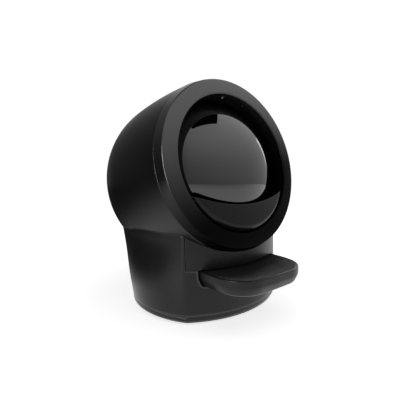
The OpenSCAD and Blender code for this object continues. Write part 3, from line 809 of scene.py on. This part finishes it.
# %% Plate with a soft bevel
plate_top, foot_h, bevel = 12.7, 3.0, 3.2
bevel_top, plate_wall, plate_sole = 6.2, 2.6, 20
plate_gap = 0.25
turns = np.concatenate([np.linspace(-math.pi / 2, math.pi / 2, 140),
                        np.linspace(math.pi / 2, 3 * math.pi / 2, 140)[1:-1]])
mirror_x = np.where(np.cos(turns) < 0, -1, 1)
half_angle = np.arctan2(np.sin(turns), np.abs(np.cos(turns)))
profile = rounded([(0, plate_top, 0.3), (0.4, bevel_top, 3), (bevel, foot_h, 1.2),
                   (plate_sole, foot_h, 0), (plate_sole, foot_h + plate_wall, 0),
                   (bevel + 4, foot_h + plate_wall, 2), (4, plate_top, 0.3)], steps=6)
rings = []
for inset, z in profile:
    points = base_point(half_angle, bottom, inset + plate_gap)
    points[:, 0] *= mirror_x
    points[:, 2] = z
    rings.append(points)
plate = skin("base_plate_edge", np.array(rings), wrap_rows=True, wrap_cols=True, sharp=40)
fit(plate, "housing", "satin_shell", satin)

# %% Rubber feet with a rounded sole and a screw well
foot_parts = []
foot_r, well_r = 9, 4.2
foot_section = rounded([(well_r + 0.2, 0.25, 0.25), (4.9, 0, 0.3), (8.2, 0, 1.1), (foot_r, 1.5, 0.8),
                        (8.6, foot_h, 0.2), (well_r, foot_h, 0.1), (well_r, 1.2, 0.1)], steps=5)
foot_low, foot_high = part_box("feet")
for x in (foot_low.x + foot_r * MM, foot_high.x - foot_r * MM):
    for y in (foot_low.y + foot_r * MM, foot_high.y - foot_r * MM):
        foot_parts.append(lathe("foot", foot_section, np.array([x, y, 0]) / MM,
                                np.array([0, 0, 1.0]), SIDE, segments=64))
feet = join("rubber_feet", foot_parts)
shade(feet.data, 40)
fit(feet, "housing", "black_rubber", black_rubber, "feet")

# %% [markdown]
# ## The crumb tray
# The tray is a flat dish with generous corners, an upright edge and an
# underside that tapers in. Its outline is drawn once; each level of the tray
# is that outline drawn in by a little, like the layers of a boat's hull.

# %% Outline of the tray seen from above
tray_front, tray_front_half, tray_bow = 174.8, 68.0, 1.8
tray_root, tray_waist, waist_draw = 84, 126, 0.6
waist_r, corner_r, bow_r = 40, 46, 120
outline = rounded([(tray_half, -tray_root, 0), (tray_half - waist_draw, -tray_waist, waist_r),
                   (tray_front_half, -tray_front + tray_bow, corner_r), (0, -tray_front, bow_r),
                   (-tray_front_half, -tray_front + tray_bow, corner_r),
                   (-tray_half + waist_draw, -tray_waist, waist_r), (-tray_half, -tray_root, 0)],
                  steps=30)
side_run = np.linspace(0, 1, 30)[1:-1, None]
outline = np.concatenate([outline[:1], outline[:1] + side_run * (outline[1] - outline[0]),
                          outline[1:-1],
                          outline[-2] + side_run * (outline[-1] - outline[-2]), outline[-1:]])
ahead = np.gradient(outline, axis=0)
normal = np.stack([-ahead[:, 1], ahead[:, 0]], 1)
normal /= -np.linalg.norm(normal, axis=1)[:, None]
if normal[len(normal) // 2][1] > 0:
    normal = -normal
tray_reach = 6.5


def tray_level(z, inset):
    """The tray's outline at a height, closed along the inside of the base."""
    front = outline - inset * normal
    yf = base_ring(z)[2]
    inner_front = front_r - tray_reach
    x = np.linspace(front[-1][0], front[0][0], 42)[1:-1]
    back = yf - np.sqrt(inner_front ** 2 - x ** 2)
    for i in (0, -1):
        front[i][1] = yf - math.sqrt(inner_front ** 2 - front[i][0] ** 2)
    flat = np.concatenate([front, np.stack([x, back], 1)])
    return np.column_stack([flat, np.full(len(flat), z)])


# %% Levels from the underside over the rim into the recess
rim_round, lip_in, lip_round = 1.1, 2.2, 0.4
recess, recess_in = 1.6, 3.0
sole_rows = tray_low + sole_round * (1 - np.cos(np.linspace(0, 1.5, 7)))
under_rows = np.linspace(tray_low + 3.4, tray_z - 10.3, 14)
levels = [(z, float(tray_inset(z))) for z in (*sole_rows, *under_rows)]
levels += [(z, 0.0) for z in np.linspace(tray_z - 9.6, tray_z - rim_round, 5)]
levels += [(tray_z - rim_round + rim_round * math.sin(a), rim_round - rim_round * math.cos(a))
           for a in np.linspace(0.25, math.pi / 2, 6)]
levels += [(tray_z, lip_in)]
levels += [(tray_z - lip_round + lip_round * math.cos(a), 2.4 + lip_round * math.sin(a))
           for a in (0.5, 1.1, 1.57)]
levels += [(tray_z - recess, recess_in)]
hull = np.array([tray_level(z, i) for z, i in levels])
tray = skin("crumb_tray", hull, wrap_cols=True, sharp=50)
close_ends(tray)
fit(tray, "tray", "satin_shell", satin, "tray")


# %% A bevelled block for the hidden slides
def block(name, low, high, edge=0.6):
    """A moulded block between two corners, with rounded edges."""
    mesh = bpy.data.meshes.new(name)
    work = bmesh.new()
    bmesh.ops.create_cube(work, size=1)
    size = (np.array(high) - np.array(low)) * MM
    middle = (np.array(high) + np.array(low)) / 2 * MM
    bmesh.ops.scale(work, vec=Vector(size), verts=work.verts)
    bmesh.ops.translate(work, vec=Vector(middle), verts=work.verts)
    bmesh.ops.bevel(work, geom=list(work.edges), offset=edge * MM, segments=3, affect="EDGES",
                    profile=0.5)
    work.to_mesh(mesh)
    work.free()
    shade(mesh, 50)
    return add(name, mesh)


tongue_half, tongue_front, tongue_rear = 50, -112, -6
rib_gap, rib_half, rib_rear = 34, 1.2, -12
tongue = [block("tongue_part", (-tongue_half, tongue_front, tray_low + 1),
                (tongue_half, tongue_rear, tray_low + 5), 0.8)]
tongue += [block("tongue_part", (x - rib_half, tongue_front, tray_low + 4.5),
                 (x + rib_half, rib_rear, tray_low + 7), 0.5) for x in (-rib_gap, 0, rib_gap)]
fit(join("tray_tongue", tongue), "tray", "satin_shell", moulded, "tray")

# %% [markdown]
# ## The ribbed mat
# A soft mat lies in the tray's recess. Fine ribs stop it from slipping and
# keep a cat's paws dry. The ribs are real: each one is a rounded ridge that
# runs from front to rear, trimmed to the mat's outline.

# %% Mat: a slab with ridges
mat_levels = ((tray_z - 1.5, 3.3), (tray_z - 0.9, 3.3), (tray_z - 0.7, 3.6))
slab = skin("mat_slab", np.array([tray_level(z, i) for z, i in mat_levels]), wrap_cols=True)
close_ends(slab)
ridge_gap, ridge_r, ridge_count = 2.4, 0.72, 31
ridge_sink, ridge_tip, ridge_run = 0.52, 0.15, 0.5
ridge_in, rear_gap = 4.2, 4
edge = tray_level(tray_z, ridge_in)[:len(outline)]
side_edge = edge[edge[:, 0] > 0]
side_edge = side_edge[np.argsort(side_edge[:, 1])]
yf = base_ring(tray_z)[2]
ys = np.linspace(-tray_front, -86, 400)
half_at = np.interp(ys, side_edge[:, 1], side_edge[:, 0])
ridges = []
for x in np.arange(-ridge_count, ridge_count + 1) * ridge_gap:
    inside = ys[(half_at > abs(x)) & (ys > side_edge[0][1])]
    if len(inside) < 2:
        continue
    y0, y1 = inside[0] + 0.3, yf - math.sqrt((front_r - rear_gap) ** 2 - x ** 2)
    if y1 - y0 < 2:
        continue
    arches = []
    for y in (y0, y0 + ridge_run, y1 - ridge_run, y1):
        size = ridge_r if y0 < y < y1 else ridge_tip
        arches.append([(x + size * math.cos(a), y, tray_z - ridge_sink + size * math.sin(a))
                       for a in np.linspace(0, math.pi, 7)])
    ridges.append(skin("ridge", np.array(arches), sharp=60))
mat = join("ribbed_mat", [slab, *ridges])
shade(mat.data, 60)
fit(mat, "tray", "black_rubber", black_rubber, "tray_mat")
print(len(ridges), "ribs on the mat")

# %% [markdown]
# ## Small trim
# The camera sits in the ring's inner wall above the visor, with a ring of
# glass round its lens; a status light sits beside it. At the rear there are
# the power socket and a push button.

# %% Camera, socket and button
cam_low, cam_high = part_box("camera_lens")
cam_mid = np.array((cam_low + cam_high) / 2) / MM
AXIS = 0.01
lens_r, cup_r, cup_low = 2.2, 4, -2.6
lens = rounded([(AXIS, 0.9, 0), (1.2, 0.85, 0.4), (2.0, 0.35, 0.3), (lens_r, -0.5, 0.1),
                (AXIS, -0.5, 0)], steps=6)
fit(lathe("camera_glass", lens, cam_mid, -UP, SIDE, segments=48), "housing", "lens", glass,
    "camera_lens")
mod_low, mod_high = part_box("camera_module")
mod_mid = np.array((mod_low + mod_high) / 2) / MM
housing_section = rounded([(2.4, 2.9, 0.2), (3.4, 3.0, 0.4), (cup_r, 2.3, 0.4),
                           (cup_r, cup_low, 0.2), (AXIS, cup_low, 0), (AXIS, 2.2, 0),
                           (2.3, 2.3, 0.2)], steps=5)
fit(lathe("camera_cup", housing_section, mod_mid, -UP, SIDE, segments=48), "housing",
    "gloss_black", inner_gloss, "camera_module")

BACKWARD = np.array([0, 1.0, 0])
socket_low, socket_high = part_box("power_inlet")
socket = np.array([(socket_low.x + socket_high.x) / 2, socket_high.y,
                   (socket_low.z + socket_high.z) / 2]) / MM
bore, bore_deep, socket_r, socket_deep = 2.8, -10, 7, -16.5
cup = rounded([(bore, bore_deep, 0), (bore, 0.1, 0.3), (3.6, 0.4, 0.3), (5.6, 0.4, 0.4),
               (6.2, 0.0, 0.2), (6.8, 0.0, 0.4), (socket_r, -0.8, 0.2), (socket_r, socket_deep, 0.4),
               (AXIS, socket_deep, 0), (AXIS, bore_deep, 0)], steps=5)
pin_r, pin_root = 1.0, bore_deep - 0.2
pin = rounded([(AXIS, -2.2, 0), (0.7, -2.4, 0.4), (pin_r, -3.4, 0.3), (pin_r, pin_root, 0),
               (AXIS, pin_root, 0)], steps=4)
fit(lathe("power_socket_cup", cup, socket, BACKWARD, SIDE, segments=64), "housing", "gloss_black",
    inner_gloss, "power_inlet")
fit(lathe("power_socket_pin", pin, socket, BACKWARD, SIDE, segments=32), "housing", "steel", steel)

button_low, button_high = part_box("rear_button")
button = np.array([0, button_high.y, (button_low.z + button_high.z) / 2]) / MM
button_r, flange_r, flange_top, flange_low = 7, 9, -9, -11
press = rounded([(AXIS, -0.7, 0), (3.5, -0.55, 6), (6.1, 0.0, 0.7), (button_r, -0.7, 0.6),
                 (button_r, flange_top + 0.1, 0.1), (flange_r, flange_top, 0.3),
                 (flange_r, flange_low, 0.3), (AXIS, flange_low, 0)], steps=7)
fit(lathe("rear_push_button", press, button, BACKWARD, SIDE, segments=96), "button", "dark_grey",
    moulded, "rear_button")

# %% [markdown]
# ## The pieces inside
# Gears, motors, the hopper and the electronics keep their CAD shapes, which
# are already right. They get the finishes their record names and smooth round
# faces.

# %% Finishes for the carried-over nodes
slot_of = {part["node"]: part["material_slot"] for part in frame["record"]["subparts"]}
for name, node in frame["nodes"].items():
    node.data.materials.clear()
    node.data.materials.append(FINISHES[slot_of[name]])
    shade(node.data, 30)
carried = [name for name, node in frame["nodes"].items() if not node.hide_render]
print(len(carried), "nodes carried over:", ", ".join(sorted(carried)))

# %% [markdown]
# ## Studio
# A glossy black object shows little but reflections, so what it mirrors is
# built apart from what lights it. A tent, a pale sweep, a dark panel and two
# strips are seen only by reflections, the floor and its surround only by the
# camera, and four soft boxes light the matt part of every finish.

# %% Floor and a pale surround
def glow(name, strength, nodes_hook=None):
    """An evenly lit, faintly mottled panel; the hook may shape its strength."""
    material = bpy.data.materials.new(name)
    material.use_nodes = True
    nodes, links = material.node_tree.nodes, material.node_tree.links
    nodes.remove(nodes["Principled BSDF"])
    lamp = nodes.new("ShaderNodeEmission")
    lamp.inputs["Strength"].default_value = strength
    mottle = nodes.new("ShaderNodeTexNoise")
    mottle.inputs["Scale"].default_value = 2
    tone = nodes.new("ShaderNodeMix")
    tone.data_type = "RGBA"
    tone.inputs["A"].default_value = (0.97, 0.97, 0.97, 1)
    tone.inputs["B"].default_value = (1, 1, 1, 1)
    links.new(mottle.outputs["Fac"], tone.inputs["Factor"])
    links.new(tone.outputs["Result"], lamp.inputs["Color"])
    links.new(lamp.outputs["Emission"], nodes["Material Output"].inputs["Surface"])
    if nodes_hook:
        links.new(nodes_hook(nodes, links), lamp.inputs["Strength"])
    return material


def only_for(piece, *kinds):
    """Keeps a studio panel out of every kind of ray but these."""
    for kind in ("camera", "diffuse", "glossy", "transmission", "volume_scatter", "shadow"):
        setattr(piece, f"visible_{kind}", kind in kinds)
    return piece


def staged(name, mesh, material):
    piece = add(name, mesh)
    mesh.materials.append(material)
    return piece


def disc(name, radius, z=0.0):
    mesh = bpy.data.meshes.new(name)
    work = bmesh.new()
    bmesh.ops.create_circle(work, cap_ends=True, radius=radius, segments=96)
    bmesh.ops.translate(work, vec=(0, 0, z), verts=work.verts)
    work.to_mesh(mesh)
    work.free()
    return mesh


def ball(name, radius):
    mesh = bpy.data.meshes.new(name)
    work = bmesh.new()
    bmesh.ops.create_uvsphere(work, u_segments=64, v_segments=32, radius=radius)
    work.to_mesh(mesh)
    work.free()
    return mesh


def curve(nodes, links, value, stops):
    """A strength that follows a value through (value, strength) stops."""
    ramp = nodes.new("ShaderNodeFloatCurve")
    line = ramp.mapping.curves[0]
    ramp.mapping.use_clip = False
    for i, (at, strength) in enumerate(stops):
        if i < 2:
            line.points[i].location = (at, strength)
        else:
            line.points.new(at, strength)
    for point in line.points:
        point.handle_type = "VECTOR"
    ramp.mapping.update()
    links.new(value, ramp.inputs["Value"])
    return ramp.outputs["Value"]


def maths(nodes, links, kind, a, b):
    node = nodes.new("ShaderNodeMath")
    node.operation = kind
    for socket, value in zip(node.inputs, (a, b)):
        if isinstance(value, (int, float)):
            socket.default_value = value
        else:
            links.new(value, socket)
    return node.outputs["Value"]


# %% The floor: white, with a painted soft contact shadow near the feeder
def painted_shadow_floor():
    material = bpy.data.materials.new("pale floor")
    material.use_nodes = True
    nodes, links = material.node_tree.nodes, material.node_tree.links
    shader = nodes["Principled BSDF"]
    place = nodes.new("ShaderNodeTexCoord")
    mottle = nodes.new("ShaderNodeTexNoise")
    mottle.inputs["Scale"].default_value = 3
    tone = nodes.new("ShaderNodeMix")
    tone.data_type = "RGBA"
    tone.inputs["A"].default_value = (0.88, 0.88, 0.88, 1)
    tone.inputs["B"].default_value = (0.9, 0.9, 0.9, 1)
    links.new(mottle.outputs["Fac"], tone.inputs["Factor"])
    links.new(tone.outputs["Result"], shader.inputs["Base Color"])
    shader.inputs["Roughness"].default_value = 0.9
    shader.inputs["Specular IOR Level"].default_value = 0.0
    shader.inputs["Emission Color"].default_value = (1, 1, 1, 1)
    # Painted shadow: the floor's glow dims from full strength far off to 0.78 near the feeder, a painted contact
    # shadow.
    away = nodes.new("ShaderNodeVectorMath")
    away.operation = "LENGTH"
    links.new(place.outputs["Object"], away.inputs[0])
    fade = nodes.new("ShaderNodeMapRange")
    fade.inputs["From Min"].default_value = 0.18
    fade.inputs["From Max"].default_value = 0.55
    fade.inputs["To Min"].default_value = 0.78
    fade.inputs["To Max"].default_value = 1.0
    links.new(away.outputs["Value"], fade.inputs["Value"])
    links.new(fade.outputs["Result"], shader.inputs["Emission Strength"])
    return material


floor = staged("floor", disc("floor", 12), painted_shadow_floor())
only_for(floor, "camera")
only_for(staged("surround", ball("surround", 11), glow("pale surround", 1.05)), "camera")


# %% [markdown]
# The sweep under the feeder reaches well forwards but only a little behind
# it, so the head's underside and the visor's lower part mirror a pale floor
# while the rear stays dark.

# %% The floor the feeder mirrors
def shift(nodes, links, value, scale, offset):
    return maths(nodes, links, "ADD", maths(nodes, links, "MULTIPLY", value, scale), offset)


def sweep_strength(nodes, links):
    place = nodes.new("ShaderNodeTexCoord")
    split = nodes.new("ShaderNodeSeparateXYZ")
    links.new(place.outputs["Object"], split.inputs[0])
    return curve(nodes, links, shift(nodes, links, split.outputs["Y"], 0.25, 0.5),
                 [(0, 0.5), (0.12, 0.7), (0.3, 1.0), (0.5, 1.1), (0.522, 1.0), (0.5375, 0.5),
                  (0.57, 0.12), (0.61, 0.03), (1, 0.02)])


only_for(staged("sweep", disc("sweep", 2, -0.001), glow("sweep", 1, sweep_strength)),
         "diffuse", "glossy")


# %% [markdown]
# The tent round the table is bright above and dim at eye level, brighter at
# the front right than at the rear left. A dark ceiling panel leaves the black
# patch high on the visor.

# %% The tent
def tent_strength(nodes, links):
    place = nodes.new("ShaderNodeTexCoord")
    unit = nodes.new("ShaderNodeVectorMath")
    unit.operation = "NORMALIZE"
    links.new(place.outputs["Object"], unit.inputs[0])
    split = nodes.new("ShaderNodeSeparateXYZ")
    links.new(unit.outputs["Vector"], split.inputs[0])
    height = curve(nodes, links, shift(nodes, links, split.outputs["Z"], 0.5, 0.5),
                   [(0, 0.1), (0.46, 0.45), (0.56, 0.55), (0.65, 0.62), (0.73, 0.75), (0.85, 1.0),
                    (0.93, 1.2), (1, 1.2)])
    toward = nodes.new("ShaderNodeVectorMath")
    toward.operation = "DOT_PRODUCT"
    bright = math.radians(55)
    toward.inputs[1].default_value = (math.sin(bright), -math.cos(bright), 0)
    links.new(unit.outputs["Vector"], toward.inputs[0])
    side = curve(nodes, links, shift(nodes, links, toward.outputs["Value"], 0.5, 0.5),
                 [(0, 0.15), (0.25, 0.28), (0.45, 0.8), (0.75, 1.0), (1, 1.2)])
    return maths(nodes, links, "MULTIPLY", height, side)


tent = staged("tent", ball("tent", 5), glow("tent", 1, tent_strength))
only_for(tent, "glossy")


def card(name, corners, strength):
    """A flat panel that only reflections see."""
    mesh = bpy.data.meshes.new(name)
    mesh.from_pydata([tuple(c) for c in corners], [], [list(range(len(corners)))])
    return only_for(staged(name, mesh, glow(name, strength)), "glossy")


def strip(name, azimuth, low, high, width, strength, distance=2.5):
    """An upright strip at an azimuth, between two elevations seen from the feeder."""
    corners = []
    for side, height in ((-1, low), (1, low), (1, high), (-1, high)):
        a = math.radians(azimuth + side * width / 2)
        corners.append((distance * math.sin(a), -distance * math.cos(a),
                        0.2 + distance * math.tan(math.radians(height))))
    return card(name, corners, strength)


ceiling = 2.2
panel_corners = [(-0.44, -0.58), (0.68, -0.58), (1.12, 0.2), (1.12, 1.24), (-0.2, 1.24)]
card("ceiling panel", [(x, y, ceiling) for x, y in panel_corners], 0.0)
strip("left strip", -68, -8, 30, 20, 9.0)
strip("right strip", 108, -2, 22, 26, 2.4)

world = bpy.data.worlds.new("studio")
bpy.context.scene.world = world
world.use_nodes = True
world.node_tree.nodes["Background"].inputs["Color"].default_value = (0.012, 0.012, 0.013, 1)
bpy.context.scene.view_settings.view_transform = "Standard"


# %% Soft boxes for the matt part of every finish
def soft_box(name, azimuth, height, distance, width, tall, radiance):
    """A lit panel seen at an azimuth and an elevation from the feeder, facing it."""
    a, e = math.radians(azimuth), math.radians(height)
    aim = Vector((0, 0, 0.2))
    way = Vector((math.sin(a) * math.cos(e), -math.cos(a) * math.cos(e), math.sin(e)))
    light = bpy.data.lights.new(name, "AREA")
    light.shape, light.size, light.size_y = "RECTANGLE", width, tall
    light.energy = radiance * width * tall * math.pi
    lamp = bpy.data.objects.new(name, light)
    lamp.location = aim + way * distance
    lamp.rotation_mode = "QUATERNION"
    lamp.rotation_quaternion = way.to_track_quat("Z", "Y")
    lamp.visible_camera = False
    lamp.visible_glossy = False
    bpy.context.scene.collection.objects.link(lamp)
    return lamp


soft_box("front right high", 30, 45, 1.6, 1.5, 1.0, 1.0)
soft_box("left", -80, 30, 1.6, 1.0, 0.9, 0.6)
soft_box("overhead", 0, 88, 1.6, 1.6, 1.6, 0.8)
soft_box("rear", 170, 35, 1.8, 1.4, 0.9, 0.8)

# %% [markdown]
# ## Camera
# The camera stands at the front left, a little above the middle of the
# feeder and close to it, so the near side of the ring looks large.

# %% Camera in the ring's own proportions
azimuth, elevation = math.radians(-38.169), math.radians(6.194)
BACK = np.array([math.sin(azimuth) * math.cos(elevation), -math.cos(azimuth) * math.cos(elevation),
                 math.sin(elevation)])
RIGHT = np.array([math.cos(azimuth), math.sin(azimuth), 0.0])
camera_up = np.cross(BACK, RIGHT)
eye = CENTRE + ring_r * (-0.429 * RIGHT - 0.439 * camera_up + 3.791 * BACK)
lens_data = bpy.data.cameras.new("camera")
lens_data.lens, lens_data.sensor_width = 29.43, 36
camera = bpy.data.objects.new("camera", lens_data)
camera.location = Vector(eye * MM)
camera.rotation_mode = "QUATERNION"
camera.rotation_quaternion = Matrix((RIGHT, camera_up, BACK)).transposed().to_quaternion()
lens_data.clip_start, lens_data.clip_end = 0.01, 50
bpy.context.scene.collection.objects.link(camera)
bpy.context.scene.camera = camera
print("camera at", [round(x, 4) for x in camera.location])

# %% [markdown]
# ## Size
# The visual model has to fill the CAD model's box and no more.

# %% Bring the scene up to date
bpy.context.view_layer.update()
